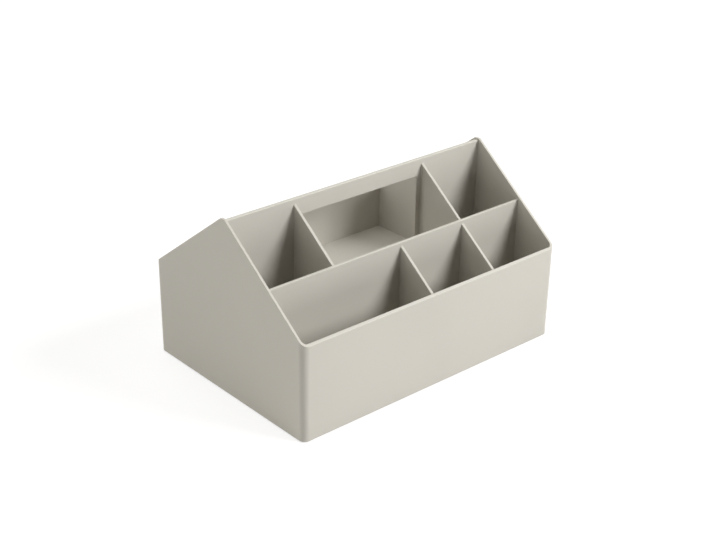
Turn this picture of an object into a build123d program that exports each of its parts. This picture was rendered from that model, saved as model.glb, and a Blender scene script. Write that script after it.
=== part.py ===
"""Desk tool box: a gabled carry box with a ridge handle and fixed compartments.

Millimetres. The box stands on Z = 0 with its length along X and its front towards -Y.
The origin is on the ground under the middle of the box.
"""
from build123d import *
import math
import os

os.makedirs("parts", exist_ok=True)

# Outer shell: four walls moulded as one sleeve
length = 330.0  # over the gables at their peaks
depth = 230.0  # over the front and rear rims
eave_height = 98.5  # from the shell's lower edge to the outer edge of the front rim
roof_angle = 37.2  # slope of the gable rims, in degrees
peak_flat = 5.8  # level top of each gable
shell_wall = 2.8
corner_radius = 6.6  # upright corners, outside
draft = 0.28  # lean of the shell's faces so that it leaves its mould, in degrees
peak_round = 1.6
rim_round = 0.45
edge_round = 0.4  # shell's lower outer edge

# Base plate, snapped into a step inside the shell's lower edge
base_thickness = 3.0
base_recess = 0.6  # underside above the shell's lower edge
base_step = 1.2  # width of the step that the plate seats against
base_fit = 0.1  # gap round the plate's edge
bead_radius = 0.5
bead_length = 36.0
bead_clearance = 0.06
long_side_beads = 3
short_side_beads = 2
bead_pitch = 100.0

# Feet, pressed into pockets under the base plate
foot_diameter = 14.0
foot_proud = 0.8  # below the shell's lower edge
foot_pocket = 0.8
foot_inset = 22.0  # from the shell's outer faces to a foot's middle
foot_bevel = 0.5  # round the sole
foot_fit = 0.05

# Ridge wall, which is also the handle
ridge_thickness = 4.4
ridge_drop = 1.8  # handle's top below the gable peaks
handle_height = 18.2  # grip above the hand opening
handle_round = 0.8
jamb_width = 5.9  # ridge wall left beside the opening, each side
opening_corner = 2.0

# Long dividers, either side of the ridge wall
divider_thickness = 3.2
divider_offset = 61.1  # middle of the ridge wall to middle of a divider
divider_drop = 5.1  # top below the roof line at the divider's middle
divider_round = 0.5

# Cross dividers, on the quarter lines of the length
cross_thickness = 3.2
cross_drop = 8.0  # sloping top below the roof line
quarter_line = 82.5  # middle of the box to a quarter line
cross_round = 0.5

# Raised floors under the handle
raised_floor_height = 86.2  # top, from the shell's lower edge
raised_floor_thickness = 2.8

# Joints: panel edges carry tongues that stand in blind grooves, and feet in the base plate
tongue_thickness = 1.4
tongue_depth = 0.9
tongue_drop = 6.0  # end of a tongue below its panel's top, out of sight
groove_end_gap = 0.15
groove_side_gap = 0.05
seat_depth = 0.8  # panels stand this deep in the base plate

# Heights and faces that follow from the sizes above
shell_bottom = foot_proud
roof_slope = math.tan(math.radians(roof_angle))
lean = math.tan(math.radians(draft))
peak_height = eave_height + roof_slope * (depth - peak_flat) / 2
bottom_length = length - 2 * lean * peak_height
bottom_depth = depth - 2 * lean * eave_height
base_bottom = shell_bottom + base_recess
floor_z = base_bottom + base_thickness
seat_z = floor_z - seat_depth
ridge_top = shell_bottom + peak_height - ridge_drop
opening_top = ridge_top - handle_height
raised_floor_z = shell_bottom + raised_floor_height
ridge_face = ridge_thickness / 2
divider_inner_face = divider_offset - divider_thickness / 2
divider_outer_face = divider_offset + divider_thickness / 2
bay_half_length = quarter_line - cross_thickness / 2
opening_half_length = bay_half_length - jamb_width
cut_past = 1.0  # how far a cutter runs past the face that it leaves by


def roof_z(y):
    """Height of the sloping rims' plane above a point y of the plan."""
    return shell_bottom + eave_height + roof_slope * (depth / 2 - abs(y))


divider_top = roof_z(divider_offset) - divider_drop


def tapered_block(grow, start=shell_bottom):
    """Solid with the plan of the shell's inner faces, grown outwards, that leans as they do."""
    rise = start - shell_bottom
    half_step = shell_wall - grow - lean * rise
    outline = RectangleRounded(
        bottom_length - 2 * half_step,
        bottom_depth - 2 * half_step,
        corner_radius - half_step,
    )
    height = shell_bottom + peak_height + cut_past - start
    return extrude(Pos(0, 0, start) * outline, amount=height, taper=-draft)


def under_roof(reach):
    """Everything below the two roof planes and the level peak."""
    half_peak = peak_flat / 2
    outline = Polygon(
        (-reach, -cut_past),
        (reach, -cut_past),
        (reach, roof_z(reach)),
        (half_peak, roof_z(half_peak)),
        (-half_peak, roof_z(half_peak)),
        (-reach, roof_z(reach)),
        align=None,
    )
    return extrude(Plane.YZ * outline, amount=length, both=True)


def block(x_span, y_span, z_span):
    """Box between three pairs of coordinates."""
    low = [min(span) for span in (x_span, y_span, z_span)]
    size = [abs(span[1] - span[0]) for span in (x_span, y_span, z_span)]
    return Pos(*low) * Box(*size, align=(Align.MIN, Align.MIN, Align.MIN))


def round_top(panel, radius):
    """Rounds the two long edges of a panel's top face."""
    top_face = panel.faces().sort_by(Axis.Z)[-1]
    return fillet(top_face.edges().sort_by(SortBy.LENGTH)[-2:], radius)


def long_slab(y, thickness, z_span, grow):
    """Upright slab from gable to gable, run into the gables by a given amount."""
    y_span = (y - thickness / 2, y + thickness / 2)
    return block((-length, length), y_span, z_span) & tapered_block(grow)


def long_tongues(y, top, side_gap=0.0, end_gap=0.0, start=floor_z):
    """Tongues at both ends of a long panel, or the grooves for them."""
    thickness = tongue_thickness + 2 * side_gap
    return long_slab(y, thickness, (start, top - tongue_drop), tongue_depth + end_gap)


def long_panel(y, thickness, top):
    """Panel from gable to gable that stands in the base plate."""
    return long_slab(y, thickness, (seat_z, top), 0.0) + long_tongues(y, top)


def cross_slab(x, y_span, thickness, start, drop, grow):
    """Upright slab across the box, sloped on top to follow the roof."""
    front, rear = y_span
    outline = Polygon(
        (front, start),
        (rear, start),
        (rear, roof_z(rear) - drop),
        (front, roof_z(front) - drop),
        align=None,
    )
    slab = extrude(Plane.YZ * outline, amount=thickness / 2, both=True)
    return (Pos(x, 0, 0) * slab) & tapered_block(grow)


def cross_tongues(x, y_span, side_gap=0.0, end_gap=0.0, start=floor_z):
    """Tongues at both ends of a cross divider, or the grooves for them."""
    run = tongue_depth + end_gap
    grown_span = (y_span[0] - run, y_span[1] + run)
    thickness = tongue_thickness + 2 * side_gap
    return cross_slab(x, grown_span, thickness, start, cross_drop + tongue_drop, run)


def cross_panel(x, y_span):
    """Cross divider between two walls, with its sloping top rounded."""
    body = cross_slab(x, y_span, cross_thickness, seat_z, cross_drop, 0.0)
    return round_top(body, cross_round) + cross_tongues(x, y_span)


def raised_floor_slab(y_span, thickness, run_x, run_y):
    """Level slab in the bay under the handle, run into the panels round it."""
    middle_z = raised_floor_z - raised_floor_thickness / 2
    x_half = bay_half_length + run_x
    return block(
        (-x_half, x_half),
        (y_span[0] - run_y, y_span[1] + run_y),
        (middle_z - thickness / 2, middle_z + thickness / 2),
    )


def raised_floor_tongues(y_span, side_gap=0.0, end_gap=0.0):
    """Tongues on the four sides of a raised floor, or the grooves for them."""
    run = tongue_depth + end_gap
    thickness = tongue_thickness + 2 * side_gap
    along_x = raised_floor_slab(y_span, thickness, run, 0.0)
    along_y = raised_floor_slab(y_span, thickness, 0.0, run)
    return along_x + along_y


def raised_floor(y_span):
    """Raised floor on one side of the ridge wall."""
    body = raised_floor_slab(y_span, raised_floor_thickness, 0.0, 0.0)
    return body + raised_floor_tongues(y_span)


# Where each panel stands: the two walls that a cross divider runs between
front_row = (-depth / 2, -divider_outer_face)
front_bay = (-divider_inner_face, -ridge_face)
rear_bay = (ridge_face, divider_inner_face)
cross_places = {
    "front_cross_middle": (0.0, front_row),
    "front_cross_right": (quarter_line, front_row),
    "bay_cross_front_left": (-quarter_line, front_bay),
    "bay_cross_front_right": (quarter_line, front_bay),
    "bay_cross_rear_left": (-quarter_line, rear_bay),
    "bay_cross_rear_right": (quarter_line, rear_bay),
}
floor_places = {"raised_floor_front": front_bay, "raised_floor_rear": rear_bay}
long_places = {
    "ridge_wall": (0.0, ridge_thickness, ridge_top),
    "front_divider": (-divider_offset, divider_thickness, divider_top),
    "rear_divider": (divider_offset, divider_thickness, divider_top),
}


def cross_grooves():
    """Grooves for the tongues of every cross divider, open at the panels' feet."""
    below = seat_z - cut_past
    return [
        cross_tongues(x, span, groove_side_gap, groove_end_gap, below)
        for x, span in cross_places.values()
    ]


def floor_grooves():
    """Grooves for the tongues of both raised floors."""
    return [
        raised_floor_tongues(span, groove_side_gap, groove_end_gap)
        for span in floor_places.values()
    ]


def bead_spots():
    """Middle and direction of each snap bead: along the front and rear, then the gables."""
    half_x = bottom_length / 2 - shell_wall + base_step - base_fit
    half_y = bottom_depth / 2 - shell_wall + base_step - base_fit
    z = base_bottom + base_thickness / 2
    along_x = GridLocations(bead_pitch, 2 * half_y, long_side_beads, 2)
    along_y = GridLocations(2 * half_x, bead_pitch, 2, short_side_beads)
    spots = [Pos(0, 0, z) * spot * Rot(0, 90, 0) for spot in along_x]
    return spots + [Pos(0, 0, z) * spot * Rot(90, 0, 0) for spot in along_y]


def beads(clearance=0.0):
    """Snap beads on the base plate's edge, or the hollows for them in the shell."""
    bead = Cylinder(bead_radius + clearance, bead_length + 2 * clearance)
    return [spot * bead for spot in bead_spots()]


def base_outline(gap):
    """Plan of the step in the shell's lower edge, less a gap."""
    in_from_outside = shell_wall - base_step + gap
    return RectangleRounded(
        bottom_length - 2 * in_from_outside,
        bottom_depth - 2 * in_from_outside,
        corner_radius - in_from_outside,
    )


def rim_edges(shell):
    """Inner and outer edges of the rim, without the short ones across it."""
    high = shell_bottom + eave_height - shell_wall
    upper = shell.edges().filter_by(lambda edge: edge.center().Z > high)
    across = upper.filter_by(Axis.X).filter_by(lambda edge: edge.length < 2 * shell_wall)
    return upper - across


def make_outer_shell():
    """Sleeve of four leaning walls under two roof planes, stepped inside for the base plate."""
    walls = tapered_block(shell_wall) & under_roof(depth)
    lower_edge = walls.faces().sort_by(Axis.Z)[0].edges()
    walls = fillet(lower_edge, edge_round)
    peaks = walls.edges().filter_by(Axis.X).sort_by(Axis.Z)[-2:]
    walls = fillet(peaks, peak_round)
    walls -= tapered_block(0.0, shell_bottom - cut_past)
    shell = fillet(rim_edges(walls), rim_round)
    step_bottom = shell_bottom - cut_past
    shell -= extrude(Pos(0, 0, step_bottom) * base_outline(0.0), amount=floor_z - step_bottom)
    shell -= beads(bead_clearance)
    for y, _, top in long_places.values():
        shell -= long_tongues(y, top, groove_side_gap, groove_end_gap, seat_z)
    for x, span in cross_places.values():
        if span is front_row:
            shell -= cross_tongues(x, span, groove_side_gap, groove_end_gap, seat_z)
    return shell


def make_ridge_wall():
    """Middle wall with the hand opening; what is left above the opening is the handle."""
    wall = long_panel(*long_places["ridge_wall"])
    opening = Rectangle(2 * opening_half_length, opening_top - raised_floor_z)
    opening = fillet(opening.vertices().sort_by(Axis.Y)[-2:], opening_corner)
    middle_z = (opening_top + raised_floor_z) / 2
    opening = Plane.XZ * Pos(0, middle_z) * opening
    wall -= extrude(opening, amount=ridge_thickness, both=True)
    handle_edges = wall.edges().filter_by(Axis.X).filter_by(
        lambda edge: edge.center().Z > opening_top - cut_past and edge.length > opening_half_length
    )
    return fillet(handle_edges, handle_round)


def make_divider(name):
    """Level-topped divider from gable to gable."""
    y, thickness, top = long_places[name]
    body = long_slab(y, thickness, (seat_z, top), 0.0)
    return round_top(body, divider_round) + long_tongues(y, top)


def make_base_plate():
    """Plate that closes the shell, with seats for the panels and pockets for the feet."""
    plate = extrude(Pos(0, 0, base_bottom) * base_outline(base_fit), amount=base_thickness)
    plate += beads()
    for y, thickness, _ in long_places.values():
        width = thickness + 2 * groove_side_gap
        plate -= long_slab(y, width, (seat_z, floor_z + cut_past), 0.0)
    for x, span in cross_places.values():
        width = cross_thickness + 2 * groove_side_gap
        x_span = (x - width / 2, x + width / 2)
        plate -= block(x_span, span, (seat_z, floor_z + cut_past)) & tapered_block(0.0)
    pocket = Cylinder(foot_diameter / 2 + foot_fit, foot_pocket + cut_past)
    pocket_middle = base_bottom + foot_pocket - (foot_pocket + cut_past) / 2
    plate -= [Pos(0, 0, pocket_middle) * spot * pocket for spot in foot_spots()]
    return plate


def foot_spots():
    """Middles of the four feet."""
    return GridLocations(length - 2 * foot_inset, depth - 2 * foot_inset, 2, 2)


def make_foot():
    """Soft round foot, turned from its section, with a bevel round its sole."""
    radius = foot_diameter / 2
    section = Rectangle(radius, base_bottom + foot_pocket, align=(Align.MIN, Align.MIN))
    sole_corner = section.vertices().sort_by(Axis.Y)[:2].sort_by(Axis.X)[-1:]
    return revolve(Plane.XZ * chamfer(sole_corner, foot_bevel), Axis.Z)


pieces = {
    "outer_shell": make_outer_shell(),
    "base_plate": make_base_plate(),
    "ridge_wall": make_ridge_wall(),
    "front_divider": make_divider("front_divider"),
    "rear_divider": make_divider("rear_divider"),
}
for name, (x, span) in cross_places.items():
    pieces[name] = cross_panel(x, span)
for name, span in floor_places.items():
    pieces[name] = raised_floor(span)

grooves = cross_grooves() + floor_grooves()
for name in long_places:
    pieces[name] -= grooves
for name in cross_places:
    pieces[name] -= floor_grooves()

foot_names = ["foot_front_left", "foot_rear_left", "foot_front_right", "foot_rear_right"]
for name, spot in zip(foot_names, foot_spots()):
    pieces[name] = spot * make_foot()

for name, piece in pieces.items():
    export_step(piece, f"parts/{name}.step")
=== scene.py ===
# %% [markdown]
# # A desk tool box, dressed for its picture
# The box is a gabled caddy in smooth, warm light grey plastic. Its solids come from the CAD
# model, already in place and true to size, and this file gives them their finishes, light and
# camera. Lengths are in metres, X runs along the ridge, -Y is the front and Z is up.

import math
import bpy
from mathutils import Matrix, Vector


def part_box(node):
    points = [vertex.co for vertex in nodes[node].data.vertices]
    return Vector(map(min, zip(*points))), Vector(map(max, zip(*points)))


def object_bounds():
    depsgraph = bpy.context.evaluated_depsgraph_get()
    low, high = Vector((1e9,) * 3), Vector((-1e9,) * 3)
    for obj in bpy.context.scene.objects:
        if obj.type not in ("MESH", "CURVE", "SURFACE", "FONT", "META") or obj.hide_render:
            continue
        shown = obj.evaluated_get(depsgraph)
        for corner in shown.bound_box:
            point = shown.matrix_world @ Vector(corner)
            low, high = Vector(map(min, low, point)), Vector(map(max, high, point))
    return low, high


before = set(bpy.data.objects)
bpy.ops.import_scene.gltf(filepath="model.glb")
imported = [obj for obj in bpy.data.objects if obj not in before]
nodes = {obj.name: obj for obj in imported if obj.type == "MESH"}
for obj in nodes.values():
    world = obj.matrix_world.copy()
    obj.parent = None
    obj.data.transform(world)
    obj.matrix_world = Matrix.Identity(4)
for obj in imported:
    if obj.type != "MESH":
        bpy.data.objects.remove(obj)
cad_low, cad_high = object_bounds()
for name in sorted(nodes):
    low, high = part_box(name)
    print(name, [round(1000 * size, 1) for size in high - low], "mm")

# %% [markdown]
# ## Smooth faces and crisp edges
# A solid arrives as flat triangles. Its rounded corners are meant to be smooth and its panels
# flat, so every face is shaded smooth and each edge that turns more than 30 degrees is marked
# sharp. That keeps the shape as it is. A subdivision modifier would also smooth it, but it
# would round off edges that the mould cuts crisply.

# %% Shade the solids
SHARP_FROM = math.radians(30)


def shade_crisply(piece):
    """Smooth shading over the rounds, with the moulded edges left sharp."""
    piece.data.shade_smooth()
    piece.data.set_sharp_from_angle(angle=SHARP_FROM)


for piece in nodes.values():
    shade_crisply(piece)
print("shaded", len(nodes), "nodes")

# %% [markdown]
# ## A way to write shader maths
# A finish is a small network of nodes. Wired by hand it is hard to read, so one class wraps a
# socket and lets it be added, multiplied and subtracted like a number. Each sum adds a Math
# node. Colours and vectors go through nodes of their own, because a Math node works on a single
# number and would turn a colour grey.


# %% Shader sums
class Signal:
    """One output socket of a node, used in sums like a number."""

    def __init__(self, bench, socket):
        self.bench = bench
        self.socket = socket

    def maths(self, operation, first, second):
        """Adds one Math node and hands back its result."""
        return self.bench.add("ShaderNodeMath", {"operation": operation}, {0: first, 1: second})

    def __add__(self, other):
        return self.maths("ADD", self, other)

    def __sub__(self, other):
        return self.maths("SUBTRACT", self, other)

    def __mul__(self, other):
        return self.maths("MULTIPLY", self, other)

    def __rsub__(self, other):
        return self.maths("SUBTRACT", other, self)

    __radd__ = __add__
    __rmul__ = __mul__


print("sums: add, subtract and multiply")

# %% [markdown]
# The bench makes every other node. Settings go in first, because a setting can change which
# sockets a node has, and after that each socket gets its number, colour or link.


# %% The bench where nodes are made
class Bench:
    """Adds nodes to one node tree and wires them."""

    def __init__(self, tree):
        self.tree = tree
        tree.nodes.clear()

    def add(self, kind, settings=None, sockets=None, output=0):
        """Makes one node and hands back one of its outputs."""
        node = self.tree.nodes.new(kind)
        for name, value in (settings or {}).items():
            setattr(node, name, value)
        for name, value in (sockets or {}).items():
            if isinstance(value, Signal):
                self.tree.links.new(value.socket, node.inputs[name])
            else:
                node.inputs[name].default_value = value
        return Signal(self, node.outputs[output]) if node.outputs else None

    def between(self, value, low, high):
        """0 below low, 1 above high and a smooth step between them."""
        steps = {"interpolation_type": "SMOOTHSTEP"}
        return self.add("ShaderNodeMapRange", steps, {0: value, 1: low, 2: high})

    def mix_colour(self, factor, first, second):
        """The first colour where factor is 0 and the second where it is 1."""
        settings = {"data_type": "RGBA"}
        return self.add("ShaderNodeMix", settings, {0: factor, 6: first, 7: second}, output=2)

    def noise(self, place, size, detail=2.0, roughness=0.5):
        """Soft blotches of about the given size in metres, from 0 to 1."""
        sockets = {"Vector": place, "Scale": 1 / size, "Detail": detail, "Roughness": roughness}
        return self.add("ShaderNodeTexNoise", None, sockets)

    def moved(self, place, shift):
        """The same place with the pattern slid along, so that no two pieces match."""
        return self.add("ShaderNodeVectorMath", {"operation": "ADD"}, {0: place, 1: shift})

    def stretched(self, place, by):
        """A place scaled by different amounts along X, Y and Z."""
        return self.add("ShaderNodeVectorMath", {"operation": "MULTIPLY"}, {0: place, 1: by})


print("bench ready")

# %% [markdown]
# ## The plastic
# The whole box is one smooth plastic in a warm light grey. Its colour is written once, in the
# linear numbers that Blender mixes light in, and every lighter or darker tone is a share of it.
# A colour for each piece could be matched more closely to the picture, but the pieces would stop
# looking like one box, so the plastic ones share this colour and differ in gloss and grain.

# %% The grey and its shades
WARM_GREY = (0.540, 0.517, 0.466)


def grey(shade):
    """The grey of the box, lighter or darker."""
    return (*(shade * part for part in WARM_GREY), 1)


print("warm grey", WARM_GREY)

# %% [markdown]
# ### What a moulded face shows
# A moulded face is never quite even. The tone drifts over a hand's width, the melt leaves faint
# upright flow lines in the gloss, it cools into long shallow waves, and the steel of the mould
# leaves a fine grain. An image texture would repeat and needs a file, while noise in the box's
# own coordinates has any size and needs no unwrapping.

# %% Marks of the mould
DRIFT_SIZE = 0.110
FLOW_SIZE = 0.012
FLOW_STRETCH = (1, 1, 0.18)
WAVE_SIZE = 0.018
GRAIN_SIZE = 0.0006


def mould_marks(bench, place):
    """The patterns of drift, flow, wave and grain, each from 0 to 1."""
    drawn_out = bench.stretched(place, FLOW_STRETCH)
    return {
        "drift": bench.noise(place, DRIFT_SIZE, detail=3.0),
        "flow": bench.noise(drawn_out, FLOW_SIZE, detail=3.0, roughness=0.6),
        "wave": bench.noise(place, WAVE_SIZE, detail=1.0),
        "grain": bench.noise(place, GRAIN_SIZE, roughness=0.6),
    }


print("grain", 1000 * GRAIN_SIZE, "mm, waves", 1000 * WAVE_SIZE, "mm")

# %% [markdown]
# ### Rims
# The rims and the tops of the dividers are less than 3 mm thick and catch the light from above.
# Faces that look up therefore get a lighter colour, which is a painted highlight. They also get a
# lower roughness, because every hand that reaches in brushes them. The Geometry node's Normal says
# which way a face looks, so nothing has to be painted by hand.

# %% What looks up
RIM_STARTS, RIM_FULL = 0.25, 0.75


# This mask places the painted highlight and the polish on faces that look up.
def looks_up(bench):
    """1 on faces that look up and 0 on walls, with a smooth step over the rounds."""
    normal = bench.add("ShaderNodeNewGeometry", output="Normal")
    up = bench.add("ShaderNodeSeparateXYZ", None, {0: normal}, output="Z")
    return bench.between(up, RIM_STARTS, RIM_FULL)


print("a rim starts where a face looks", round(math.degrees(math.asin(RIM_STARTS))), "degrees up")

# %% [markdown]
# ### Colour
# The colour stays within a few hundredths of the grey, because the eye reads more than that as
# dirt. Three mixes lie over each other: the slow drift, the pits of the grain and a painted
# highlight on the rims.

# %% Colour of the skin
DRIFT_BAND, DRIFT_SPAN = (0.30, 0.70), 0.015
PIT_BAND, PIT_SHADE, PIT_SHARE = (0.62, 0.75), 0.90, 0.10
# How much lighter the faces that look up are painted, as a painted highlight for the light from
# above.
RIM_PAINTED_HIGHLIGHT = 1.055


def plastic_colour(bench, marks, rim):
    """Grey that drifts and is darker in the pits of the grain, with a painted highlight on the
    rims.
    """
    drift = bench.between(marks["drift"], *DRIFT_BAND)
    colour = bench.mix_colour(drift, grey(1 - DRIFT_SPAN), grey(1 + DRIFT_SPAN))
    pits = bench.between(marks["grain"], *PIT_BAND) * PIT_SHARE
    colour = bench.mix_colour(pits, colour, grey(PIT_SHADE))
    # Faces that look up are painted lighter here, as a painted highlight.
    return bench.mix_colour(rim, colour, grey(RIM_PAINTED_HIGHLIGHT))


print("drift of tone", DRIFT_SPAN, "either way")

# %% [markdown]
# ### Gloss
# A satin skin mirrors its surroundings as a blur. Roughness says how wide the blur is, and most
# of what makes plastic look real is that it isn't the same all over.

# %% Roughness of the skin
SATIN = 0.47
RIM_POLISH = 0.05
FLOW_SWING, GRAIN_SWING = 0.09, 0.10


def swing(mark, span):
    """A pattern from 0 to 1 as a change of half the span, down or up."""
    return (mark - 0.5) * span


def plastic_roughness(marks, rim, gloss):
    """Satin with flow lines and grain in it, smoother on the rims."""
    uneven = swing(marks["flow"], FLOW_SWING) + swing(marks["grain"], GRAIN_SWING)
    return SATIN - gloss + uneven - rim * RIM_POLISH


print("roughness about", SATIN)

# %% [markdown]
# ### Relief
# Waves and grain are far too shallow to model, so they only bend the normal. They come in two
# steps, one Bump node feeding the next, so that the grain lies on the waves.

# %% Relief of the skin
WAVE_STRENGTH, WAVE_DEPTH = 0.35, 0.00035
GRAIN_STRENGTH, GRAIN_DEPTH = 0.5, 0.00004


def plastic_relief(bench, marks, grain):
    """Long waves with the grain on top."""
    waves = {"Strength": WAVE_STRENGTH, "Distance": WAVE_DEPTH, "Height": marks["wave"]}
    waved = bench.add("ShaderNodeBump", None, waves)
    pits = {"Strength": GRAIN_STRENGTH * grain, "Distance": GRAIN_DEPTH, "Height": marks["grain"]}
    return bench.add("ShaderNodeBump", None, {**pits, "Normal": waved})


print("waves", 1000 * WAVE_DEPTH, "mm deep, grain", 1000 * GRAIN_DEPTH, "mm")

# %% [markdown]
# ### The recipe
# A finish starts from its name, a shift that slides the patterns, and how glossy and how grainy
# the piece is. The Principled shader then gets colour, roughness and relief. Its IOR is that of
# common moulded plastics, written on the shader's own socket because it is the same all over.

# %% Plastic recipe
PLASTIC_IOR = 1.49
RUB_POLISH = 0.10


def moulded_plastic(name, shift, gloss=0.0, grain=1.0, rim_highlight_and_polish=True, rub=None):
    """Satin plastic. rim_highlight_and_polish is False on a floor, and rub says where hands have polished it."""
    finish = bpy.data.materials.new(name)
    finish.use_nodes = True
    bench = Bench(finish.node_tree)
    place = bench.add("ShaderNodeTexCoord", output="Object")
    marks = mould_marks(bench, bench.moved(place, shift))
    # The rim mask carries the painted highlight in the colour and the polish in the roughness. On a
    # floor it is 0.
    rim = looks_up(bench) if rim_highlight_and_polish else 0.0
    roughness = plastic_roughness(marks, rim, gloss)
    if rub is not None:
        roughness = roughness - rub(bench, place) * RUB_POLISH
    skin = {
        "Base Color": plastic_colour(bench, marks, rim),
        "Roughness": roughness,
        "Normal": plastic_relief(bench, marks, grain),
        "IOR": PLASTIC_IOR,
    }
    surface = bench.add("ShaderNodeBsdfPrincipled", None, skin)
    bench.add("ShaderNodeOutputMaterial", None, {"Surface": surface})
    return finish


print("plastic recipe with an IOR of", PLASTIC_IOR)

# %% [markdown]
# ### The grip
# On the ridge wall the bar over the hand opening is held in the hand every day. Skin and grit
# polish it, so its roughness drops there, most on the middle of the bar. The bar's top is the
# high corner of the ridge wall's own box, and the bar is as long as the hand opening below it.
# A mask painted on the mesh would need unwrapping, while one worked out from the place doesn't.

# %% Where the grip is
GRIP_HALF_LENGTH = 0.075
GRIP_HEIGHT = 0.0182
FADE_STARTS, FADE_ENDS = 0.6 * GRIP_HALF_LENGTH, 1.1 * GRIP_HALF_LENGTH
FADE_DROP, FADE_RISE = 1.3 * GRIP_HEIGHT, 0.4 * GRIP_HEIGHT

grip_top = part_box("ridge_wall")[1].z
foot_of_fade = grip_top - FADE_DROP


def grip_polish(bench, place):
    """1 on the middle of the handle bar, fading out at its ends and below it."""
    x = bench.add("ShaderNodeSeparateXYZ", None, {0: place}, output="X")
    z = bench.add("ShaderNodeSeparateXYZ", None, {0: place}, output="Z")
    out = bench.add("ShaderNodeMath", {"operation": "ABSOLUTE"}, {0: x})
    along = 1 - bench.between(out, FADE_STARTS, FADE_ENDS)
    return along * bench.between(z, foot_of_fade, foot_of_fade + FADE_RISE)


print("grip from", round(1000 * (grip_top - GRIP_HEIGHT), 1), "mm up")

# %% [markdown]
# ### Putting a finish on a piece
# A CAD piece comes with its own material slots. Its mesh stays as it is, and only what is in
# the slots changes. Pieces of one kind stand in a row, and each takes its patterns from another
# place, so that no two look stamped from one sheet.


# %% Dress one piece
def dress(node_name, finish):
    """Puts a finish on every material slot of a CAD node."""
    slots = nodes[node_name].data.materials
    for index in range(len(slots)):
        slots[index] = finish
    if not slots:
        slots.append(finish)


def slid(start, step, count):
    """Where the patterns of the piece with this number in its row begin."""
    return tuple(first + each * count for first, each in zip(start, step))


def spoken(name):
    """A node's name as plain words."""
    return name.replace("_", " ")


print("pieces to dress:", len(nodes))

# %% [markdown]
# ### Shell and handle
# The outer faces are what the maker textures, so they get the most grain. The ridge wall is held
# in the hand, so it is a little smoother, and polished where the grip is.

# %% Dress the shell and the handle
SHELL_START, HANDLE_START = (0.31, 0.17, 0.05), (0.73, 0.41, 0.22)

dress("outer_shell", moulded_plastic("shell plastic", SHELL_START))
handle_plastic = moulded_plastic(
    "handle plastic", HANDLE_START, gloss=0.02, grain=0.8, rub=grip_polish
)
dress("ridge_wall", handle_plastic)
print("dressed the shell and the handle")

# %% [markdown]
# ### Panels
# The panels inside come from polished steel that has to let go of tall thin walls, so they are
# smoother still. One material for all would be quicker, but then the patterns would run on from
# piece to piece.

# %% Dress the panels
PANEL_START, PANEL_STEP = (0, 0, 0), (0.11, 0.07, 0.13)

panel_names = [
    "front_divider",
    "rear_divider",
    "front_cross_middle",
    "front_cross_right",
    "bay_cross_front_left",
    "bay_cross_front_right",
    "bay_cross_rear_left",
    "bay_cross_rear_right",
]
for count, name in enumerate(panel_names):
    shift = slid(PANEL_START, PANEL_STEP, count)
    dress(name, moulded_plastic(spoken(name) + " plastic", shift, gloss=0.03, grain=0.7))
print("dressed", len(panel_names), "panels")

# %% [markdown]
# ### Floors
# The floors take the knocks of what is dropped in, so they are the dullest. They look up all over,
# but they aren't rims, so they get neither the rims' painted highlight nor their polish.

# %% Dress the floors
FLOOR_START, FLOOR_STEP = (0.5, 0.3, 0.1), (0.2, 0, 0)

floor_names = ["base_plate", "raised_floor_front", "raised_floor_rear"]
for count, name in enumerate(floor_names):
    shift = slid(FLOOR_START, FLOOR_STEP, count)
    dress(name, moulded_plastic(spoken(name) + " plastic", shift, grain=1.1, rim_highlight_and_polish=False))
print("dressed", len(floor_names), "floors")

# %% [markdown]
# ## The feet
# The feet are a soft elastomer that grips the desk. It scatters light more than the plastic and
# has a powdery bloom, so it is darker, rougher and speckled at half a millimetre.

# %% Soft rubber recipe
SPECKLE_SIZE, SPECKLE_STRENGTH, SPECKLE_DEPTH = 0.0005, 0.6, 0.00006
BLOOM_SIZE, BLOOM_BAND = 0.006, (0.35, 0.70)
DARK_RUBBER = (0.330, 0.318, 0.292, 1)
BLOOMED_RUBBER = (0.385, 0.372, 0.345, 1)
MATT, BLOOM_MATT = 0.72, 0.16
RUBBER_IOR = 1.45


def soft_rubber(name, shift):
    """Matt grey elastomer with a faint powdery bloom."""
    finish = bpy.data.materials.new(name)
    finish.use_nodes = True
    bench = Bench(finish.node_tree)
    place = bench.moved(bench.add("ShaderNodeTexCoord", output="Object"), shift)
    speckle = bench.noise(place, SPECKLE_SIZE, detail=3.0, roughness=0.7)
    bloom = bench.noise(place, BLOOM_SIZE)
    bloomed = bench.between(bloom, *BLOOM_BAND)
    bumps = {"Strength": SPECKLE_STRENGTH, "Distance": SPECKLE_DEPTH, "Height": speckle}
    skin = {
        "Base Color": bench.mix_colour(bloomed, DARK_RUBBER, BLOOMED_RUBBER),
        "Roughness": MATT + bloom * BLOOM_MATT,
        "Normal": bench.add("ShaderNodeBump", None, bumps),
        "IOR": RUBBER_IOR,
    }
    surface = bench.add("ShaderNodeBsdfPrincipled", None, skin)
    bench.add("ShaderNodeOutputMaterial", None, {"Surface": surface})
    return finish


print("rubber roughness from", MATT, "to", MATT + BLOOM_MATT)

# %% [markdown]
# The four feet are alike, so a loop gives them the same recipe, and each takes its speckle from
# another place. Their names are looked up in the model, so a foot more or less needs no edit.

# %% Dress the feet
FOOT_START, FOOT_STEP = (0, 0.2, 0.6), (0.4, 0, 0)

feet = sorted(name for name in nodes if name.startswith("foot_"))
for count, name in enumerate(feet):
    dress(name, soft_rubber(spoken(name) + " rubber", slid(FOOT_START, FOOT_STEP, count)))
print("dressed", len(feet), "feet")

# %% [markdown]
# ## What the camera sees
# The picture has a plain white ground, and white reached with lamps would wash out the box. The
# Light Path node tells the rays that the camera sees from those that only carry light, so the
# ground can be white to the one and a plain card to the other. What is mirrored or seen through
# glass counts as seen.


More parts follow.
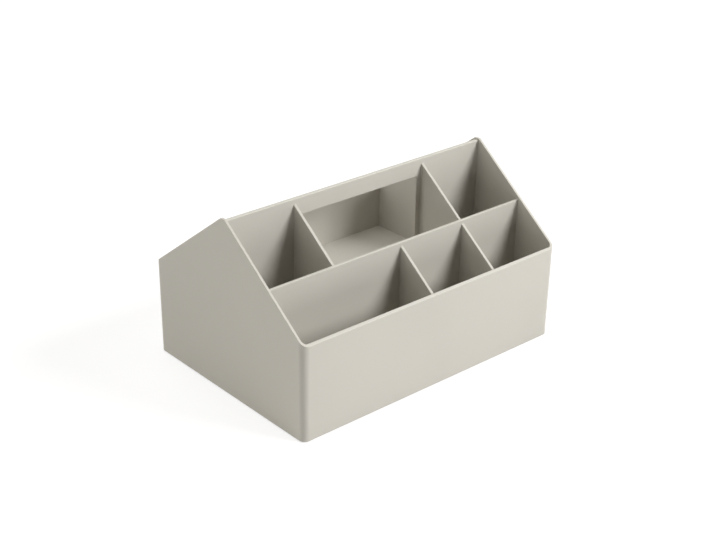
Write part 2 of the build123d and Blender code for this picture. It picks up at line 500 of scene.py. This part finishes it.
# %% Rays that are seen
def seen_directly(bench):
    """1 for what the camera sees, also mirrored or through glass, and 0 for bounced light."""
    camera_ray = bench.add("ShaderNodeLightPath", output="Is Camera Ray")
    gloss_ray = bench.add("ShaderNodeLightPath", output="Is Glossy Ray")
    glass_ray = bench.add("ShaderNodeLightPath", output="Is Transmission Ray")
    rays = {0: camera_ray + gloss_ray + glass_ray, 1: 1.0}
    return bench.add("ShaderNodeMath", {"operation": "MINIMUM"}, rays)


print("three kinds of ray count as seen")

# %% [markdown]
# ## Floor
# A floor under the box catches its soft shadow. To the camera it is a pale card with a glow of
# its own, so that it reaches white without more light on the box. To the light that bounces it
# is a plain light card. It ends 2 m from the middle of the box, where the key light still
# reaches it, so that no grey horizon shows in a low view: past its edge the white sky takes over.

# %% Floor
FLOOR_SIDE = 4
OWN_GLOW = 0.70
CARD_TONE = (0.40, 0.40, 0.40, 1)
BOUNCE_TONE = (0.80, 0.80, 0.80, 1)

bpy.ops.mesh.primitive_plane_add(size=FLOOR_SIDE)
floor = bpy.context.object
floor.name = "floor"
card = bpy.data.materials.new("floor card")
card.use_nodes = True
bench = Bench(card.node_tree)
lit_card = bench.add("ShaderNodeBsdfDiffuse", None, {"Color": CARD_TONE})
own_glow = bench.add("ShaderNodeEmission", None, {"Strength": OWN_GLOW})
pale_card = bench.add("ShaderNodeAddShader", None, {0: lit_card, 1: own_glow})
bounce_card = bench.add("ShaderNodeBsdfDiffuse", None, {"Color": BOUNCE_TONE})
sides = {0: seen_directly(bench), 1: bounce_card, 2: pale_card}
surface = bench.add("ShaderNodeMixShader", None, sides)
bench.add("ShaderNodeOutputMaterial", None, {"Surface": surface})
floor.data.materials.append(card)
print("floor", FLOOR_SIDE, "m wide")

# %% [markdown]
# ## Light
# The picture is lit from the front right and above, through one large soft source. The front
# walls are bright, the left gable and the left faces of the dividers are in shade, and the
# shadows in the pens have soft edges. They also get a little narrower from left to right, which
# says that the source stands a few metres away: a sun lamp would make them all alike. So the
# key is a round area lamp, as wide as the soft edges ask for and aimed at the box's middle.
# An area lamp is set in watts, worked out here from the light that should reach the box.

# %% Soft key light
KEY_AZIMUTH, KEY_HEIGHT = math.radians(37.4), math.radians(31.1)
KEY_DISTANCE = 4.5
KEY_DIAMETER = 2.36
KEY_IRRADIANCE = 3.03

key_data = bpy.data.lights.new("key light", "AREA")
key_data.shape = "DISK"
key_data.size = KEY_DIAMETER
key_data.energy = KEY_IRRADIANCE * math.pi * (KEY_DISTANCE**2 + (KEY_DIAMETER / 2) ** 2)
key = bpy.data.objects.new("key light", key_data)
toward_key = Vector(
    (
        math.sin(KEY_AZIMUTH) * math.cos(KEY_HEIGHT),
        -math.cos(KEY_AZIMUTH) * math.cos(KEY_HEIGHT),
        math.sin(KEY_HEIGHT),
    )
)
key.location = (cad_low + cad_high) / 2 + KEY_DISTANCE * toward_key
key.rotation_mode = "QUATERNION"
key.rotation_quaternion = (-toward_key).to_track_quat("-Z", "Y")
key.visible_camera = False
bpy.context.scene.collection.objects.link(key)
print("key light", round(key_data.energy), "watts")

# %% [markdown]
# ### Sky
# A world shader lights the box from everywhere else. A plain grey sky would fill every pen
# alike, so the sky is built from three soft patches: one straight overhead, which reaches the
# rims and down into the pens, one low at the rear left, which opens up the gable's shade, and
# one high at the rear. A patch is the dot product of two directions, raised to a power: the
# higher the power, the smaller the patch.

# %% A patch of sky
studio = bpy.data.worlds.new("studio")
bpy.context.scene.world = studio
studio.use_nodes = True
bench = Bench(studio.node_tree)
toward = bench.add("ShaderNodeTexCoord", output="Generated")


def patch(direction, sharpness, strength):
    """A soft patch of light in the sky, brightest in the given direction."""
    axis = tuple(Vector(direction).normalized())
    product = {"operation": "DOT_PRODUCT"}
    dot = bench.add("ShaderNodeVectorMath", product, {0: toward, 1: axis}, output="Value")
    facing = bench.add("ShaderNodeMath", {"operation": "MAXIMUM"}, {0: dot, 1: 0.0})
    return strength * bench.add("ShaderNodeMath", {"operation": "POWER"}, {0: facing, 1: sharpness})


print("sky ready for its patches")

# %% [markdown]
# The patches are a touch warm, as light is that has met a room's walls. To the camera the sky
# is plain white, at a strength of 1. The Standard view shows colours as they are written, where
# Blender's usual one would soften the whites.

# %% Sky
SKY_TONE = (1.0, 0.988, 0.940, 1)
PLAIN_WHITE = (1, 1, 1, 1)

overhead = patch((0, 0, 1), sharpness=24, strength=2.45)
rear_left = patch((-0.70, 0.70, 0.27), sharpness=2, strength=1.20)
high_rear = patch((0.0, 0.64, 0.77), sharpness=4, strength=0.80)
level = overhead + rear_left + high_rear
sky = bench.add("ShaderNodeBackground", None, {"Color": SKY_TONE, "Strength": level})
white = bench.add("ShaderNodeBackground", None, {"Color": PLAIN_WHITE, "Strength": 1.0})
backdrop = bench.add("ShaderNodeMixShader", None, {0: seen_directly(bench), 1: sky, 2: white})
bench.add("ShaderNodeOutputWorld", None, {"Surface": backdrop})
bpy.context.scene.view_settings.view_transform = "Standard"
print("sky of three patches")

# %% [markdown]
# ## Camera
# The camera stands to the front left, above the box. Its place, turn and focal length were
# worked out from the box's straight edges in the picture. The picture's uprights are parallel,
# which a plain camera that looks down can't give, so this is the nearest view without a shift.
# The turn is written as three angles, and the camera's own axes are built from them: a camera
# looks along its -Z, with its X to the right and its Y up.

# %% Turn of the camera
YAW, PITCH, ROLL = math.radians(41.56), math.radians(26.15), math.radians(0.93)

forward = Vector(
    (math.sin(YAW) * math.cos(PITCH), math.cos(YAW) * math.cos(PITCH), -math.sin(PITCH))
)
level_right = Vector((math.cos(YAW), -math.sin(YAW), 0))
level_up = level_right.cross(forward)
right = level_right * math.cos(ROLL) + level_up * math.sin(ROLL)
up = level_up * math.cos(ROLL) - level_right * math.sin(ROLL)
turn = Matrix((right, up, -forward)).transposed()
print("looks down", round(math.degrees(PITCH), 1), "degrees")

# %% [markdown]
# The focal length was found in pixels of the picture. Blender wants it in millimetres, for a
# sensor of a given width, so it is scaled from one to the other.

# %% Camera
IMAGE_WIDTH, SENSOR_WIDTH = 716, 36.0
FOCAL_PIXELS = 1400.0
CAMERA_PLACE = (-0.838, -0.945, 0.7018)

camera_data = bpy.data.cameras.new("camera")
camera_data.sensor_width = SENSOR_WIDTH
camera_data.lens = FOCAL_PIXELS * SENSOR_WIDTH / IMAGE_WIDTH
camera = bpy.data.objects.new("camera", camera_data)
camera.matrix_world = Matrix.Translation(CAMERA_PLACE) @ turn.to_4x4()
bpy.context.scene.collection.objects.link(camera)
bpy.context.scene.camera = camera
print("lens", round(camera_data.lens, 1), "mm")
